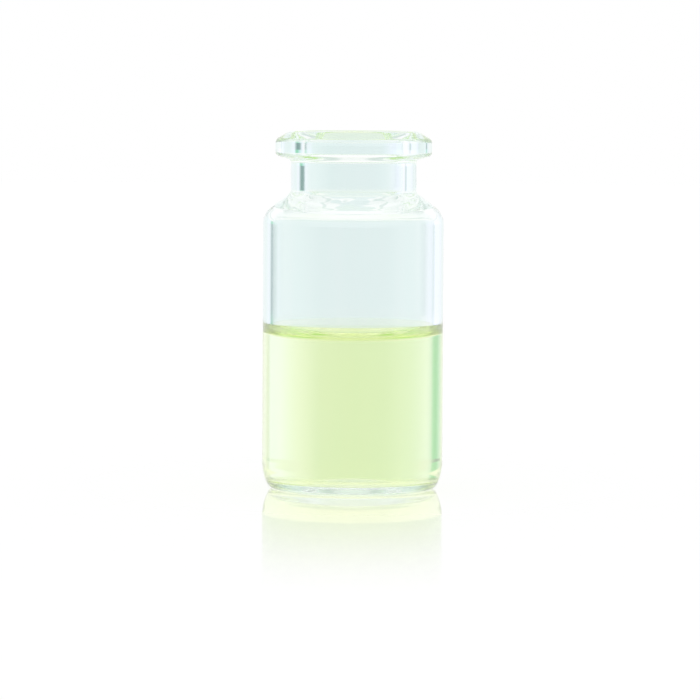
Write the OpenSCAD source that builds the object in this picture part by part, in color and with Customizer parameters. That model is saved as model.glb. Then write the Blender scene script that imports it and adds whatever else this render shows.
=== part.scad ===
// Headspace sample vial of clear tubing glass, open at the top and half full of a pale liquid.
// Both pieces are turned about the Z axis. The vial stands on the plane z = 0.

/* [Body] */
// Height from the standing ring to the sealing face of the lip
vial_h = 45.6; // [40:0.1:75]
// Outer diameter of the tube
body_d = 23; // [21:0.1:30]
// Thickness of the tube wall
wall = 1.2; // [0.8:0.05:2]

/* [Shoulder] */
// Distance from the lip down to the foot of the neck
neck_drop = 7.8; // [6:0.1:12]
// Fall of the sloping shoulder, from the neck to the tube
shoulder_fall = 2.7; // [2:0.1:4]
// Fall of the shoulder on the inside of the glass
inner_shoulder_fall = 3.1; // [2:0.1:4.5]
// Glass above the inner shoulder, measured down from the foot of the neck
shoulder_glass = 0.3; // [0.1:0.05:0.8]
// Radius where the shoulder rolls over into the tube
shoulder_round = 2.4; // [1:0.1:3]
// Radius where the neck runs out into the shoulder
neck_fillet = 0.6; // [0.3:0.05:1]
// Radius inside the shoulder, where the cavity is widest
inner_shoulder_round = 1.6; // [0.8:0.1:2]
// Radius where the bore opens into the cavity
throat_round = 1.2; // [0.6:0.1:1.8]

/* [Neck and lip] */
// Outer diameter of the neck
neck_d = 16; // [15:0.1:17]
// Diameter of the bore that takes the stopper
bore_d = 12.6; // [12:0.05:13]
// Outer diameter of the crimp flange
flange_d = 19.9; // [19:0.1:20.5]
// Diameter at which the bevel of the lip begins
lip_flat_d = 16.2; // [15.5:0.1:17]
// Height of the bevel on the lip
bevel_h = 1.1; // [0.6:0.05:1.4]
// Height of the upright side of the flange
flange_side_h = 2.0; // [1.5:0.1:2.6]
// Rise of the sloping underside of the flange
under_slope_h = 0.6; // [0.3:0.05:1]
// Radius where the sealing face turns into the bevel
lip_round = 1.4; // [0.6:0.1:1.8]
// Radius where the bevel turns into the side of the flange
bevel_round = 0.7; // [0.3:0.05:0.9]
// Radius on the lower edge of the flange
under_round = 0.6; // [0.3:0.05:0.8]
// Radius in the corner between flange and neck
under_fillet = 0.45; // [0.2:0.05:0.7]
// Radius where the sealing face turns into the bore
mouth_round = 0.5; // [0.2:0.05:0.8]

/* [Base] */
// Glass above the standing plane, where the inner floor is lowest
base_t = 1.35; // [0.8:0.05:1.6]
// How far the heel draws in from the tube to the standing ring
heel_in = 0.95; // [0.6:0.05:1.3]
// Height over which the heel draws in
heel_h = 1.9; // [1.5:0.1:2.4]
// Long upper radius of the heel
heel_round = 5.6; // [4:0.1:6]
// Short lower radius of the heel
foot_round = 1.0; // [0.6:0.05:1.1]
// Diameter of the push-up under the base
push_up_d = 18; // [15:0.1:18.5]
// Height of the push-up at its middle
push_up_h = 0.2; // [0.1:0.05:0.5]
// Rise of the inner floor at its middle
floor_rise = 0.75; // [0.4:0.05:1]
// Diameter at which the raised middle of the floor runs out
floor_dome_d = 12; // [10:0.25:14]
// Radius inside the vial, between the floor and the wall
inner_heel_round = 1.2; // [0.8:0.1:2]

/* [Liquid sample] */
// Height of the level middle of the liquid above the standing plane
fill_h = 19.25; // [8:0.25:28]
// Climb of the liquid up the wall
meniscus_rise = 1.95; // [1:0.05:2.5]
// Width of the sloping edge of the liquid
meniscus_w = 1.3; // [0.9:0.05:2]
// Radius where the level middle turns up towards the wall
meniscus_round = 3.2; // [2:0.1:3.5]

/* [Hidden] */

glass_colour = [0.86, 0.94, 0.93, 0.45];
liquid_colour = [0.80, 0.90, 0.42, 0.85];
turn_fn = 72;
round_fn = 48;
dome_fn = 360;
over = 1;
sector_reach = 2;
arc_share = 0.96;

body_r = body_d / 2;
inner_r = body_r - wall;
neck_r = neck_d / 2;
bore_r = bore_d / 2;
flange_r = flange_d / 2;
lip_flat_r = lip_flat_d / 2;
heel_r = body_r - heel_in;
floor_dome_r = floor_dome_d / 2;
floor_slope = rise_slope(floor_dome_r, floor_rise);
floor_round = arc_share * floor_dome_r / (2 * sin(floor_slope));
floor_corner = floor_dome_r * tan(floor_slope / 2) / (2 * sin(floor_slope));
flange_top = vial_h - bevel_h;
flange_bottom = flange_top - flange_side_h;
neck_top = flange_bottom - under_slope_h;
neck_foot = vial_h - neck_drop;
throat_z = neck_foot - shoulder_glass;

// Unit vector from p towards q
function towards(p, q) = (q - p) / norm(q - p);

// Half of the angle between the edges that meet at p
function half_angle(a, p, b) = acos(towards(p, a) * towards(p, b)) / 2;

// Distance from a corner to the ends of its arc
function tangent_l(a, p, b, r) = r / tan(half_angle(a, p, b));

// Centre of the arc of radius r that rounds the corner at p
function arc_centre(a, p, b, r) =
    let (middle = towards(p, a) + towards(p, b))
    p + middle / norm(middle) * r / sin(half_angle(a, p, b));

// The two ends of the arc at a corner, or the sharp corner itself
function arc_ends(a, p, b, r) =
    r == 0 ? [p] : [
        p + towards(p, a) * tangent_l(a, p, b, r),
        p + towards(p, b) * tangent_l(a, p, b, r)
    ];

// True where an anticlockwise outline turns left at p, so that its corner points outwards
function points_out(a, p, b) = cross(p - a, b - p) > 0;

// Radius of a dome of height h over a circle of radius r
function dome_r(r, h) = (r * r + h * h) / (2 * h);

// Slope at the middle of an S-shaped rise of height h over a width w, made of two equal arcs
function rise_slope(w, h) = 2 * atan(h / w);

// Slice of a disc between the two ends of the arc at a corner
module arc_sector(a, p, b, r) {
    centre = arc_centre(a, p, b, r);
    ends = arc_ends(a, p, b, r);
    translate(centre)
        intersection() {
            circle(r = r, $fn = round_fn);
            polygon([
                [0, 0],
                (ends[0] - centre) * sector_reach,
                (p - centre) * sector_reach,
                (ends[1] - centre) * sector_reach
            ]);
        }
}

// Closed outline through corners [x, z, radius], anticlockwise, every rounding a true arc
module rounded_outline(corners) {
    n = len(corners);
    p = [for (c = corners) [c[0], c[1]]];
    r = [for (c = corners) c[2]];
    before = [for (i = [0:n - 1]) p[(i + n - 1) % n]];
    after = [for (i = [0:n - 1]) p[(i + 1) % n]];
    difference() {
        union() {
            polygon([for (i = [0:n - 1]) each arc_ends(before[i], p[i], after[i], r[i])]);
            for (i = [0:n - 1])
                if (r[i] > 0 && points_out(before[i], p[i], after[i]))
                    arc_sector(before[i], p[i], after[i], r[i]);
        }
        for (i = [0:n - 1])
            if (r[i] > 0 && !points_out(before[i], p[i], after[i]))
                arc_sector(before[i], p[i], after[i], r[i]);
    }
}

// Shallow dome about the axis, from its rim at radius r and height z to its top at z + h
module dome_outline(r, z, h) {
    translate([0, z + h - dome_r(r, h)])
        circle(r = dome_r(r, h), $fn = dome_fn);
}

// Outside of the glass: standing ring, heel, tube, shoulder, neck, flange and lip
module outer_outline() {
    difference() {
        rounded_outline([
            [0, 0, 0],
            [heel_r, 0, foot_round],
            [body_r, heel_h, heel_round],
            [body_r, neck_foot - shoulder_fall, shoulder_round],
            [neck_r, neck_foot, neck_fillet],
            [neck_r, neck_top, under_fillet],
            [flange_r, flange_bottom, under_round],
            [flange_r, flange_top, bevel_round],
            [lip_flat_r, vial_h, lip_round],
            [0, vial_h, 0]
        ]);
        dome_outline(push_up_d / 2, 0, push_up_h);
    }
}

// Inside of the glass up to the sealing face: raised floor, wall, shoulder and bore
module cavity_outline() {
    rounded_outline([
        [0, base_t + floor_rise, 0],
        [floor_corner, base_t + floor_rise, floor_round],
        [floor_dome_r - floor_corner, base_t, floor_round],
        [inner_r, base_t, inner_heel_round],
        [inner_r, throat_z - inner_shoulder_fall, inner_shoulder_round],
        [bore_r, throat_z, throat_round],
        [bore_r, vial_h - mouth_round, 0],
        [bore_r, vial_h + over, 0],
        [0, vial_h + over, 0]
    ]);
}

// Rounded entry of the bore, from the sealing face inwards
module mouth_outline() {
    difference() {
        translate([0, vial_h - mouth_round])
            square([bore_r + mouth_round, mouth_round + over]);
        translate([bore_r + mouth_round, vial_h - mouth_round])
            circle(r = mouth_round, $fn = round_fn);
    }
}

// Everything below the surface of the liquid, with the edge climbing the wall
module below_surface() {
    rounded_outline([
        [0, 0, 0],
        [body_r, 0, 0],
        [body_r, fill_h + meniscus_rise, 0],
        [inner_r, fill_h + meniscus_rise, 0],
        [inner_r - meniscus_w, fill_h, meniscus_round],
        [0, fill_h, 0]
    ]);
}

// One piece of glass: drawn tube with a tooled crimp neck and a flat, pushed-up base
module vial() {
    color(glass_colour)
        rotate_extrude($fn = turn_fn)
            difference() {
                outer_outline();
                cavity_outline();
                mouth_outline();
            }
}

// The liquid fills the cavity up to its curved surface and wets the wall
module liquid_sample() {
    color(liquid_colour)
        rotate_extrude($fn = turn_fn)
            intersection() {
                cavity_outline();
                below_surface();
            }
}

vial();
liquid_sample();
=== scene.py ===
import math

import bmesh
import bpy
from mathutils import Matrix, Vector, noise


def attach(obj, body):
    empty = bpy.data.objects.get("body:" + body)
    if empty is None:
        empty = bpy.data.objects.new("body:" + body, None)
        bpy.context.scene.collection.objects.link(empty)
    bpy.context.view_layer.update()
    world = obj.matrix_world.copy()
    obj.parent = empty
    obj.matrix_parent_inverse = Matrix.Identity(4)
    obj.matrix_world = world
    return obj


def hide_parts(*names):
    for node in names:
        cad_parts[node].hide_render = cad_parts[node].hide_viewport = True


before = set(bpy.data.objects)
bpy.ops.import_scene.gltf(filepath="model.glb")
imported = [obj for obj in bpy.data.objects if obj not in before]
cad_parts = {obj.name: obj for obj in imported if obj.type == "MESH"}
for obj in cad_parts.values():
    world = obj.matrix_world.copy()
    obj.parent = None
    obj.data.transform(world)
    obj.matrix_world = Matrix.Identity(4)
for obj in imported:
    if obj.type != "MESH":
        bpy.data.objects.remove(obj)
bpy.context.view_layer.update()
mm = 0.001  # every size below is in millimetres
white = "#ffffff"
black = "#000000"

print("the packed vial is loaded")


def linearColour(hexCode):
    channels = []
    for i in (1, 3, 5):
        value = int(hexCode[i:i + 2], 16) / 255
        if value <= 0.04045:
            channels.append(value / 12.92)
        else:
            channels.append(((value + 0.055) / 1.055) ** 2.4)
    return (*channels, 1.0)


# A node with its settings and links, by the names or numbers of its sockets
def addNode(tree, kind, settings=None, links=None):
    node = tree.nodes.new(kind)
    for name, value in (settings or {}).items():
        if name in node.inputs.keys() or isinstance(name, int):
            node.inputs[name].default_value = value
        else:
            setattr(node, name, value)
    for name, socket in (links or {}).items():
        tree.links.new(socket, node.inputs[name])
    return node


# Corner points [radius, height, rounding], bottom to top and back inside, turned about the Z axis
def profileMesh(bm, corners, arcSteps):
    points = [Vector((r * mm, 0, z * mm)) for r, z, rounding in corners]
    verts = [bm.verts.new(p) for p in points]
    for first, second in zip(verts, verts[1:]):
        bm.edges.new((first, second))
    for i in range(1, len(corners) - 1):
        rounding = corners[i][2]
        if rounding == 0:
            continue
        halfAngle = (points[i - 1] - points[i]).angle(points[i + 1] - points[i]) / 2
        bmesh.ops.bevel(
            bm,
            geom=[verts[i]],
            offset=rounding * mm / math.tan(halfAngle),  # from the corner to the ends of its arc
            offset_type="OFFSET",
            segments=arcSteps,
            profile=0.5,
            affect="VERTICES",
            material=-1,
            clamp_overlap=False,
        )


# Long straight stretches are cut up, so that the turned mesh has even faces
def splitLongEdges(bm, longest):
    for edge in list(bm.edges):
        cuts = int(edge.calc_length() / (longest * mm))
        if cuts > 0:
            bmesh.ops.subdivide_edges(bm, edges=[edge], cuts=cuts)


touching = 0.002  # points nearer than this are one
level = 0.0001  # heights nearer than this are the same


def turnAboutAxis(bm, steps):
    bmesh.ops.spin(
        bm,
        geom=list(bm.verts) + list(bm.edges),
        cent=(0, 0, 0),
        axis=(0, 0, 1),
        angle=math.tau,
        steps=steps,
        use_merge=True,
    )
    bmesh.ops.remove_doubles(bm, verts=bm.verts, dist=touching * mm)
    bmesh.ops.recalc_face_normals(bm, faces=bm.faces)


sharpAngle = math.radians(30)  # edges folded more than this keep a crisp line


def finishPiece(bm, name, material):
    for face in bm.faces:
        face.smooth = True
    for edge in bm.edges:
        edge.smooth = edge.calc_face_angle(0) < sharpAngle
    mesh = bpy.data.meshes.new(name)
    bm.to_mesh(mesh)
    bm.free()
    mesh.materials.append(material)
    piece = bpy.data.objects.new(name, mesh)
    bpy.context.scene.collection.objects.link(piece)
    print(name, "has", len(mesh.polygons), "faces")
    return piece


def radiusOf(point):
    return math.hypot(point.x, point.y) / mm


def atHeight(point, height):
    return abs(point.z / mm - height) < level


# A shallow dome over a circle
def domeLift(radius, rim, rise):
    return rise * max(0.0, 1 - (radius / rim) ** 2)


# A dome that runs out into the flat floor around it without a crease
def softDomeLift(radius, rim, rise):
    share = min(1.0, radius / rim)
    if share < 0.5:
        return rise * (1 - 2 * share ** 2)
    return rise * 2 * (1 - share) ** 2


# Glass

glassSizes = {
    "height": 45.6,
    "bodyRadius": 11.5,
    "innerRadius": 10.3,
    "shoulderTop": 37.8,
    "shoulderBottom": 35.1,
    "innerShoulderTop": 37.2,
    "innerShoulderBottom": 34.75,
    "shoulderRound": 2.4,
    "innerShoulderRound": 1.6,
    "throatRound": 1.2,
    "neckRadius": 8.0,
    "neckFillet": 0.6,
    "boreRadius": 6.3,
    "neckTop": 41.9,
    "flangeRadius": 9.95,
    "flangeBottom": 42.5,
    "flangeTop": 44.5,
    "underFillet": 0.45,
    "underRound": 0.6,
    "bevelRound": 0.7,
    "lipRadius": 8.1,
    "lipRound": 1.4,
    "mouthRound": 0.5,
    "heelRadius": 10.55,
    "heelHeight": 1.9,
    "heelRound": 5.6,
    "footRound": 1.0,
    "baseThickness": 1.35,
    "pushUpRadius": 9.0,
    "pushUpRise": 0.2,
    "floorRise": 0.75,
    "floorRim": 6.0,
    "innerHeelRound": 1.2,
    "waveBottom": 34.4,
    "waveTop": 38.0,
    "waveLength": 1.6,
    "waveFlatter": 1.6,  # the rollers leave waves that are longer around the vial than along it
    "waveDepth": 0.02,
    "unwavedSkin": 0.9,  # glass this near the outside keeps its true shape
    "longestEdge": 0.5,
    "turnSteps": 240,
    "arcSteps": 10,
}


# Radius of the outside at a height, on the tube or on the slope of the shoulder
def outerRadius(height, s):
    if height < s["shoulderBottom"]:
        return s["bodyRadius"]
    slope = (s["bodyRadius"] - s["neckRadius"]) / (s["shoulderTop"] - s["shoulderBottom"])
    return s["neckRadius"] + (s["shoulderTop"] - height) * slope


# The hot shoulder was pressed in by rollers, so its inside is slightly wavy
def toolingWave(point, s):
    height = point.z / mm
    middle = (s["waveBottom"] + s["waveTop"]) / 2
    reach = (s["waveTop"] - s["waveBottom"]) / 2
    fade = 1 - ((height - middle) / reach) ** 2
    if fade <= 0 or radiusOf(point) > outerRadius(height, s) - s["unwavedSkin"]:
        return Vector((0, 0, 0))
    spot = point / (s["waveLength"] * mm)
    wave = noise.noise(Vector((spot.x, spot.y, spot.z * s["waveFlatter"])))
    return Vector((point.x, point.y, 0)).normalized() * s["waveDepth"] * fade * wave


def makeGlass(material):
    s = glassSizes
    outside = [
        [0, 0, 0],
        [s["heelRadius"], 0, s["footRound"]],
        [s["bodyRadius"], s["heelHeight"], s["heelRound"]],
        [s["bodyRadius"], s["shoulderBottom"], s["shoulderRound"]],
        [s["neckRadius"], s["shoulderTop"], s["neckFillet"]],
        [s["neckRadius"], s["neckTop"], s["underFillet"]],
        [s["flangeRadius"], s["flangeBottom"], s["underRound"]],
        [s["flangeRadius"], s["flangeTop"], s["bevelRound"]],
        [s["lipRadius"], s["height"], s["lipRound"]],
    ]
    inside = [
        [s["boreRadius"], s["height"], s["mouthRound"]],
        [s["boreRadius"], s["innerShoulderTop"], s["throatRound"]],
        [s["innerRadius"], s["innerShoulderBottom"], s["innerShoulderRound"]],
        [s["innerRadius"], s["baseThickness"], s["innerHeelRound"]],
        [0, s["baseThickness"], 0],
    ]
    bm = bmesh.new()
    profileMesh(bm, outside + inside, s["arcSteps"])
    splitLongEdges(bm, s["longestEdge"])
    for vert in bm.verts:
        radius = radiusOf(vert.co)
        if atHeight(vert.co, 0):
            vert.co.z += domeLift(radius, s["pushUpRadius"], s["pushUpRise"]) * mm
        elif atHeight(vert.co, s["baseThickness"]):
            vert.co.z += softDomeLift(radius, s["floorRim"], s["floorRise"]) * mm
    turnAboutAxis(bm, s["turnSteps"])
    for vert in bm.verts:
        vert.co += toolingWave(vert.co, s) * mm
    vial = finishPiece(bm, "vialGlass", material)
    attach(vial, "root")
    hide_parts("vial")


# Liquid

sampleSizes = {
    "innerRadius": 10.3,
    "overlap": 0.02,  # into the wall, so that glass and liquid share no air gap
    "baseThickness": 1.35,
    "floorRise": 0.75,
    "floorRim": 6.0,
    "innerHeelRound": 1.2,
    "fillHeight": 19.1,
    "edgeRise": 2.1,
    "edgeSlope": 70,  # degrees, where the liquid meets the wall
    "edgeSteps": 26,
    "edgeCrowding": 1.5,  # more steps where the edge runs out flat
    "flattestSlope": 0.01,
    "longestEdge": 0.5,
    "turnSteps": 240,
    "arcSteps": 10,
}


# How far out and how high a liquid edge of a given slope lies, by the law of surface tension
def liquidEdge(slope, reach):
    out = math.log(math.tan(slope / 4)) + 2 * math.cos(slope / 2)
    return reach * out, 2 * reach * math.sin(slope / 2)


def makeSample(material):
    s = sampleSizes
    wall = s["innerRadius"] + s["overlap"]
    floor = s["baseThickness"] - s["overlap"]
    steepest = math.radians(s["edgeSlope"])
    reach = s["edgeRise"] / (2 * math.sin(steepest / 2))
    atWall = liquidEdge(steepest, reach)[0]
    bm = bmesh.new()
    corners = [
        [0, floor, 0],
        [wall, floor, s["innerHeelRound"]],
        [wall, s["fillHeight"] + s["edgeRise"], 0],
    ]
    for i in range(1, s["edgeSteps"] + 1):
        slope = steepest * (1 - i / s["edgeSteps"]) ** s["edgeCrowding"] + s["flattestSlope"]
        out, height = liquidEdge(slope, reach)
        corners.append([s["innerRadius"] + out - atWall, s["fillHeight"] + height, 0])
    corners.append([0, s["fillHeight"], 0])
    profileMesh(bm, corners, s["arcSteps"])
    splitLongEdges(bm, s["longestEdge"])
    for vert in bm.verts:
        if atHeight(vert.co, floor):
            vert.co.z += softDomeLift(radiusOf(vert.co), s["floorRim"], s["floorRise"]) * mm
    turnAboutAxis(bm, s["turnSteps"])
    sample = finishPiece(bm, "liquidSample", material)
    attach(sample, "root")
    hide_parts("liquid_sample")


# Materials

glassFinish = {
    "clear": "#ffffff",
    "drawLine": "#f9fdfc",  # the faint tone between two draw lines
    "drawLineWidth": 1.6,
    "drawLineLength": 40.0,
    "drawLineDepth": 0.0012,
    "ior": 1.47,
    "roughness": 0.0,
    "body": "#daf7ee",
    "bodyDensity": 10.0,
    "passing": "#fbfdfc",  # the tint of its shadow
    "wettedFrom": 1.25,  # heights and radius within which the glass lies under liquid
    "wettedTo": 21.2,
    "wettedRadius": 10.36,
}

sampleFinish = {
    "clear": "#fffffd",
    "cloud": "#fefffa",  # a faint unevenness in the liquid
    "cloudSize": 6.0,
    "mirrored": "#4fb808",  # painted reflection: a green tint on what the curved edge mirrors, standing in for light that has crossed much of the liquid
    "edgeFrom": 19.1,  # heights over which that painted reflection tint comes in
    "edgeTo": 19.3,
    "roughness": 0.06,
    "ior": 1.34,
    "transmission": 0.96,  # the rest is a faint haze
    "body": "#f6ff00",
    "bodyDensity": 25.0,
    "passing": "#fcfef3",  # the tint of its shadow
    "wettedFrom": 1.5,  # heights and radius beyond which the liquid lies against glass
    "wettedTo": 30.0,
    "wettedRadius": 10.28,
    "floorTo": 2.15,
}

wide = 1000.0  # a limit beyond every piece


# Lamps and the soft light of the floor pass straight through, so that the shadow stays pale
def letLightThrough(tree, shader, tint):
    paths = addNode(tree, "ShaderNodeLightPath")
    clear = addNode(tree, "ShaderNodeBsdfTransparent", {"Color": linearColour(tint)})
    forFloor = addNode(tree, "ShaderNodeMixShader", None, {
        0: paths.outputs["Is Diffuse Ray"], 1: shader, 2: clear.outputs[0],
    })
    forLamps = addNode(tree, "ShaderNodeMixShader", None, {
        0: paths.outputs["Is Shadow Ray"], 1: forFloor.outputs[0], 2: clear.outputs[0],
    })
    return forLamps.outputs[0]


# 1 between two heights, and on one side of a radius
def wettedZone(tree, lowest, highest, radius, inside):
    place = addNode(tree, "ShaderNodeTexCoord")
    split = addNode(tree, "ShaderNodeSeparateXYZ", None, {0: place.outputs["Object"]})
    flat = addNode(tree, "ShaderNodeCombineXYZ", None, {0: split.outputs[0], 1: split.outputs[1]})
    length = addNode(tree, "ShaderNodeVectorMath", {"operation": "LENGTH"}, {0: flat.outputs[0]})
    side = addNode(tree, "ShaderNodeMath", {
        "operation": "LESS_THAN" if inside else "GREATER_THAN", 1: radius * mm,
    }, {0: length.outputs["Value"]})
    above = addNode(tree, "ShaderNodeMath", {"operation": "GREATER_THAN", 1: lowest * mm},
                    {0: split.outputs[2]})
    below = addNode(tree, "ShaderNodeMath", {"operation": "LESS_THAN", 1: highest * mm},
                    {0: split.outputs[2]})
    both = addNode(tree, "ShaderNodeMath", {"operation": "MULTIPLY"},
                   {0: above.outputs[0], 1: below.outputs[0]})
    zone = addNode(tree, "ShaderNodeMath", {"operation": "MULTIPLY"},
                   {0: both.outputs[0], 1: side.outputs[0]})
    return zone.outputs[0]


# Soft unevenness from 0 to 1, with its own size around and along the vial
def unevenness(tree, across, along):
    place = addNode(tree, "ShaderNodeTexCoord")
    stretch = addNode(tree, "ShaderNodeMapping", {
        "Scale": (1 / (across * mm), 1 / (across * mm), 1 / (along * mm)),
    }, {0: place.outputs["Object"]})
    pattern = addNode(tree, "ShaderNodeTexNoise", {"Scale": 1.0, "Detail": 2.0, "Roughness": 0.5},
                      {"Vector": stretch.outputs[0]})
    return pattern.outputs[0]


def toneBetween(tree, share, first, second):
    mixed = addNode(tree, "ShaderNodeMix", {
        "data_type": "RGBA", 6: linearColour(first), 7: linearColour(second),
    }, {0: share})
    return mixed.outputs[2]


# Clear borosilicate tube: faint lines from drawing, and a green-blue cast where the light crosses
# much glass
def firePolishedGlass():
    f = glassFinish
    material = bpy.data.materials.new("firePolishedBorosilicate")
    material.use_nodes = True
    tree = material.node_tree
    tree.nodes.clear()
    wetted = wettedZone(tree, f["wettedFrom"], f["wettedTo"], f["wettedRadius"], True)
    mirrored = toneBetween(tree, wetted, white, black)  # glass under liquid mirrors almost nothing
    drawn = unevenness(tree, f["drawLineWidth"], f["drawLineLength"])
    tone = toneBetween(tree, drawn, f["drawLine"], f["clear"])
    relief = addNode(tree, "ShaderNodeBump", {"Strength": 1.0, "Distance": f["drawLineDepth"] * mm},
                     {"Height": drawn})
    glass = addNode(tree, "ShaderNodeBsdfPrincipled", {
        "Roughness": f["roughness"], "IOR": f["ior"], "Transmission Weight": 1.0,
    }, {"Base Color": tone, "Specular Tint": mirrored, "Normal": relief.outputs[0]})
    surface = letLightThrough(tree, glass.outputs[0], f["passing"])
    body = addNode(tree, "ShaderNodeVolumeAbsorption", {
        "Color": linearColour(f["body"]), "Density": f["bodyDensity"],
    })
    addNode(tree, "ShaderNodeOutputMaterial", None, {"Surface": surface, "Volume": body.outputs[0]})
    return material


# Clear yellow-green solution: pale where it is thin, with a painted green reflection tint along its
# curved edge, standing in for light thrown back into it
def paleSample():
    f = sampleFinish
    material = bpy.data.materials.new("paleGreenSample")
    material.use_nodes = True
    tree = material.node_tree
    tree.nodes.clear()
    wall = wettedZone(tree, f["wettedFrom"], f["wettedTo"], f["wettedRadius"], False)
    floorZone = wettedZone(tree, -wide, f["floorTo"], wide, True)
    wetted = addNode(tree, "ShaderNodeMath", {"operation": "MAXIMUM"}, {0: wall, 1: floorZone})
    place = addNode(tree, "ShaderNodeTexCoord")
    split = addNode(tree, "ShaderNodeSeparateXYZ", None, {0: place.outputs["Object"]})
    # Painted reflection: over these heights the specular tint turns from white to green, so the
    # liquid's edge glows green
    paintedReflectionRise = addNode(tree, "ShaderNodeMapRange", {
        "interpolation_type": "SMOOTHSTEP",
        "From Min": f["edgeFrom"] * mm, "From Max": f["edgeTo"] * mm,
    }, {"Value": split.outputs[2]})
    paintedEdgeReflection = toneBetween(tree, paintedReflectionRise.outputs[0], white, f["mirrored"])
    mirrored = addNode(tree, "ShaderNodeMix", {"data_type": "RGBA", 7: linearColour(black)},
                       {0: wetted.outputs[0], 6: paintedEdgeReflection})
    cloud = unevenness(tree, f["cloudSize"], f["cloudSize"])
    tone = toneBetween(tree, cloud, f["cloud"], f["clear"])
    liquid = addNode(tree, "ShaderNodeBsdfPrincipled", {
        "Roughness": f["roughness"], "IOR": f["ior"], "Transmission Weight": f["transmission"],
    }, {"Base Color": tone, "Specular Tint": mirrored.outputs[2]})
    surface = letLightThrough(tree, liquid.outputs[0], f["passing"])
    body = addNode(tree, "ShaderNodeVolumeAbsorption", {
        "Color": linearColour(f["body"]), "Density": f["bodyDensity"],
    })
    addNode(tree, "ShaderNodeOutputMaterial", None, {"Surface": surface, "Volume": body.outputs[0]})
    return material


makeGlass(firePolishedGlass())
makeSample(paleSample())
print("the glass and the sample are made")


# Studio

floorSizes = {
    "radius": 1500.0,
    "sides": 64,
    "mirrorFrom": 20.0,  # radii between which the mirror image fades away
    "mirrorTo": 102.0,
    "grain": 3.0,
}

floorFinish = {
    "sheet": "#bcbcbc",
    "sheetWorn": "#bababa",
    "glow": 0.51,
    "mirrorShare": 1.2,
    "ior": 1.5,
    "roughness": 0.02,
}


# White acrylic sheet: a clear mirror image at a low angle that fades away from the vial
def whiteAcrylic():
    f = floorFinish
    material = bpy.data.materials.new("whiteAcrylicSheet")
    material.use_nodes = True
    tree = material.node_tree
    tree.nodes.clear()
    place = addNode(tree, "ShaderNodeTexCoord")
    length = addNode(tree, "ShaderNodeVectorMath", {"operation": "LENGTH"},
                     {0: place.outputs["Object"]})
    fade = addNode(tree, "ShaderNodeMapRange", {
        "interpolation_type": "SMOOTHSTEP",
        "From Min": floorSizes["mirrorFrom"] * mm, "From Max": floorSizes["mirrorTo"] * mm,
        "To Min": f["mirrorShare"], "To Max": 0.0,
    }, {"Value": length.outputs["Value"]})
    fresnel = addNode(tree, "ShaderNodeFresnel", {"IOR": f["ior"]})
    share = addNode(tree, "ShaderNodeMath", {"operation": "MULTIPLY"},
                    {0: fade.outputs[0], 1: fresnel.outputs[0]})
    grain = unevenness(tree, floorSizes["grain"], floorSizes["grain"])
    tone = toneBetween(tree, grain, f["sheetWorn"], f["sheet"])
    matt = addNode(tree, "ShaderNodeBsdfDiffuse", None, {"Color": tone})
    glow = addNode(tree, "ShaderNodeEmission", {
        "Color": linearColour(white), "Strength": f["glow"],
    })
    lit = addNode(tree, "ShaderNodeAddShader", None, {0: matt.outputs[0], 1: glow.outputs[0]})
    gloss = addNode(tree, "ShaderNodeBsdfGlossy", {
        "Color": linearColour(white), "Roughness": f["roughness"],
    })
    sheet = addNode(tree, "ShaderNodeMixShader", None,
                    {0: share.outputs[0], 1: lit.outputs[0], 2: gloss.outputs[0]})
    paths = addNode(tree, "ShaderNodeLightPath")
    through = addNode(tree, "ShaderNodeMath", {"operation": "MAXIMUM"},
                      {0: paths.outputs["Is Transmission Ray"], 1: paths.outputs["Is Glossy Ray"]})
    clear = addNode(tree, "ShaderNodeBsdfTransparent")
    surface = addNode(tree, "ShaderNodeMixShader", None,
                      {0: through.outputs[0], 1: sheet.outputs[0], 2: clear.outputs[0]})
    addNode(tree, "ShaderNodeOutputMaterial", None, {"Surface": surface.outputs[0]})
    return material


def makeFloor():
    bm = bmesh.new()
    bmesh.ops.create_circle(bm, cap_ends=True, segments=floorSizes["sides"],
                            radius=floorSizes["radius"] * mm)
    mesh = bpy.data.meshes.new("floor")
    bm.to_mesh(mesh)
    bm.free()
    mesh.materials.append(whiteAcrylic())
    floor = bpy.data.objects.new("floor", mesh)
    bpy.context.scene.collection.objects.link(floor)


# What stands around the table: angles from straight behind the vial, right being positive, each
# with a tone and its strength. Green flags stand beside the vial, and grey ones behind its neck.
greenFlags = [
    (-180, "#f6ffff", 0.87), (-90, "#f4fffe", 0.92),
    (-67, white, 1.0), (-62, "#f1f7ff", 1.05), (-53, "#d9fffc", 0.84), (-48, "#b5ffe2", 0.74),
    (-44, "#acffd2", 0.68), (-40, "#c4ffe6", 0.76), (-37, "#e9faff", 0.98),
    (-33, "#edf5ff", 1.12), (-20, "#f3fffe", 0.94), (0, "#f4ffff", 0.92),
    (10, "#f4feff", 0.94), (20, "#f0f5ff", 1.10), (30, "#e5e9ff", 1.33),
    (42, "#e5e9ff", 1.35), (47, "#faffff", 0.86), (52, "#f4f4ff", 1.15),
    (60, "#ede5ff", 1.40), (68, white, 1.0), (90, "#f4fffe", 0.92),
    (180, "#f6ffff", 0.87),
]
greyFlags = [
    (-180, "#f6ffff", 0.87), (-90, "#f4fffe", 0.92),
    (-67, white, 1.0), (-61, "#f1f7ff", 1.05), (-54, "#d3fff9", 0.40), (-47, "#c6fff8", 0.32),
    (-43, "#dcfffc", 0.42), (-39, "#e7fcff", 0.70), (-36, "#f2faff", 0.97),
    (-31, "#f3f8ff", 1.03), (-20, "#f3fffe", 0.94), (0, "#f4ffff", 0.92),
    (10, "#f4feff", 0.94), (20, "#f0f4ff", 1.08), (30, "#f0f5ff", 1.12),
    (41, "#f0f5ff", 1.12), (46, "#e7fffc", 0.70), (51, "#f6f8ff", 1.04),
    (60, white, 1.05), (90, "#f4fffe", 0.92),
    (180, "#f6ffff", 0.87),
]
softWhite = [(-180, white, 1.06), (180, white, 1.06)]

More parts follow.
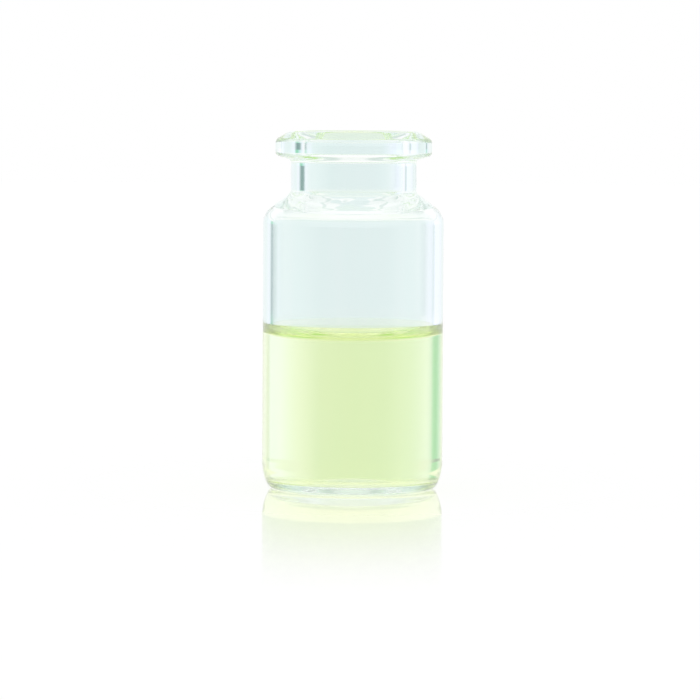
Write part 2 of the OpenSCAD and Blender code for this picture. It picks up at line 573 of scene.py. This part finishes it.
# Rows of light from the table up to the ceiling. Each has the sines of the angles above the
# horizon at which it starts and fully shows, and then its colours.
lightRows = [
    # The table, straight below
    (-1.1, -1.05, [(-180, "#fbfffb", 1.02), (-70, "#fbfffb", 1.02), (0, "#f4ffd3", 0.95),
                   (70, "#fbfffb", 1.02), (180, "#fbfffb", 1.02)]),
    # Seen through the edge of the liquid
    (-0.90, -0.86, [(-180, "#f7ffee", 1.08), (-85, "#f7ffee", 1.08), (-65, "#caff8c", 0.74),
                    (-26, "#caff8c", 0.74), (-14, "#f5ffea", 0.90), (14, "#f5ffea", 0.90),
                    (26, "#caff8c", 0.74), (65, "#caff8c", 0.74), (85, "#f7ffee", 1.08),
                    (180, "#f7ffee", 1.08)]),
    # Seen through the lip, the flange and the flanks of the liquid's edge
    (-0.66, -0.60, [(-180, white, 1.0), (-142, white, 1.0), (-130, "#edffe2", 1.00),
                    (-90, "#edffe2", 1.00), (-70, "#e6ffd2", 0.84), (-34, "#e6ffd2", 0.84),
                    (-22, "#f3fff3", 0.89), (22, "#f3fff3", 0.89),
                    (34, "#e6ffd2", 0.84), (70, "#e6ffd2", 0.84), (90, "#edffe2", 1.00),
                    (130, "#edffe2", 1.00), (142, white, 1.0), (180, white, 1.0)]),
    # The white sheet further out
    (-0.46, -0.41, [(-180, white, 0.80), (-150, white, 1.0), (-112, white, 1.0),
                    (-90, white, 0.86), (-60, white, 1.0), (-28, white, 1.0),
                    (0, "#f5fffe", 0.92), (28, white, 1.0), (60, white, 1.0),
                    (90, white, 0.86), (112, white, 1.0), (150, white, 1.0),
                    (180, white, 0.80)]),
    # Upright flags on both sides, seen in the walls of the vial
    (-0.175, -0.125, greenFlags),
    (-0.068, -0.060, greyFlags),
    (-0.012, -0.004, greenFlags),
    # A white strip that brightens the shoulder
    (0.062, 0.075, [(-180, white, 1.04), (180, white, 1.04)]),
    # A dimmer strip, seen in the mirror image of the vial
    (0.113, 0.119, [(-180, "#f4fffc", 0.86), (180, "#f4fffc", 0.86)]),
    # The tent, and its ceiling
    (0.134, 0.142, softWhite),
    (0.44, 0.54, [(-180, white, 1.06), (-70, white, 1.06), (-50, "#f1fffa", 0.75),
                  (-16, "#f1fffa", 0.75), (-8, white, 1.0), (8, white, 1.0),
                  (16, "#f1fffa", 0.75), (50, "#f1fffa", 0.75), (70, white, 1.06),
                  (180, white, 1.06)]),
]


# What polished faces mirror from below the horizon: white in front, nearly black behind the camera
mirrorCard = [
    (-180, white, 0.05), (-140, white, 0.05), (-110, white, 1.0),
    (110, white, 1.0), (140, white, 0.05), (180, white, 0.05),
]


# The colours of one row, blended from angle to angle all the way round
def colourRing(tree, factor, stops):
    ramp = addNode(tree, "ShaderNodeValToRGB", None, {0: factor})
    elements = ramp.color_ramp.elements
    while len(elements) < len(stops):
        elements.new(1.0)
    for element, (angle, tone, strength) in zip(elements, stops):
        element.position = (angle + 180) / 360
        element.color = (*[channel * strength for channel in linearColour(tone)[:3]], 1)
    return ramp.outputs[0]


def makeStudioLight():
    world = bpy.data.worlds.new("lightTent")
    bpy.context.scene.world = world
    world.use_nodes = True
    tree = world.node_tree
    tree.nodes.clear()
    place = addNode(tree, "ShaderNodeTexCoord")
    split = addNode(tree, "ShaderNodeSeparateXYZ", None, {0: place.outputs["Generated"]})
    turn = addNode(tree, "ShaderNodeMath", {"operation": "ARCTAN2"},
                   {0: split.outputs[0], 1: split.outputs[1]})
    around = addNode(tree, "ShaderNodeMapRange", {"From Min": -math.pi, "From Max": math.pi},
                     {"Value": turn.outputs[0]})
    room = colourRing(tree, around.outputs[0], lightRows[0][2])
    for start, full, stops in lightRows[1:]:
        share = addNode(tree, "ShaderNodeMapRange", {
            "interpolation_type": "SMOOTHSTEP", "From Min": start, "From Max": full,
        }, {"Value": split.outputs[2]})
        row = colourRing(tree, around.outputs[0], stops)
        mixed = addNode(tree, "ShaderNodeMix", {"data_type": "RGBA"},
                        {0: share.outputs[0], 6: room, 7: row})
        room = mixed.outputs[2]
    card = colourRing(tree, around.outputs[0], mirrorCard)
    under = addNode(tree, "ShaderNodeMath", {"operation": "LESS_THAN", 1: 0.0},
                    {0: split.outputs[2]})
    mirrorView = addNode(tree, "ShaderNodeMix", {"data_type": "RGBA", 6: linearColour(white)},
                         {0: under.outputs[0], 7: card})
    paths = addNode(tree, "ShaderNodeLightPath")
    mirrored = addNode(tree, "ShaderNodeMix", {"data_type": "RGBA", 6: linearColour(white)},
                       {0: paths.outputs["Is Glossy Ray"], 7: mirrorView.outputs[2]})
    seen = addNode(tree, "ShaderNodeMix", {"data_type": "RGBA"},
                   {0: paths.outputs["Is Transmission Ray"], 6: mirrored.outputs[2], 7: room})
    light = addNode(tree, "ShaderNodeBackground", {"Strength": 1.0}, {"Color": seen.outputs[2]})
    addNode(tree, "ShaderNodeOutputWorld", None, {"Surface": light.outputs[0]})


makeFloor()
makeStudioLight()
print("the floor and the light are set")


# Camera

cameraSizes = {
    "distance": 460.0,
    "height": 51.0,
    "lookDown": 4.14,  # degrees
    "roll": 0.3,  # degrees
    "aside": -0.35,
    "lens": 186.0,
    "sensor": 36.0,
    "nearest": 10.0,
}


def makeCamera():
    s = cameraSizes
    data = bpy.data.cameras.new("productCamera")
    data.lens = s["lens"]
    data.sensor_width = s["sensor"]
    camera = bpy.data.objects.new("productCamera", data)
    bpy.context.scene.collection.objects.link(camera)
    place = Matrix.Translation((s["aside"] * mm, -s["distance"] * mm, s["height"] * mm))
    tilt = Matrix.Rotation(math.radians(90 - s["lookDown"]), 4, "X")
    roll = Matrix.Rotation(math.radians(s["roll"]), 4, "Z")
    camera.matrix_world = place @ tilt @ roll
    data.clip_start = s["nearest"] * mm
    bpy.context.scene.camera = camera


makeCamera()
bpy.context.scene.view_settings.view_transform = "Standard"

# Clear glass sends light round inside itself many times before it lets it out
bounces = bpy.context.scene.cycles
manyBounces = 40
bounces.max_bounces = manyBounces
bounces.glossy_bounces = manyBounces
bounces.transmission_bounces = manyBounces
bounces.transparent_max_bounces = 24
print("the camera is placed")
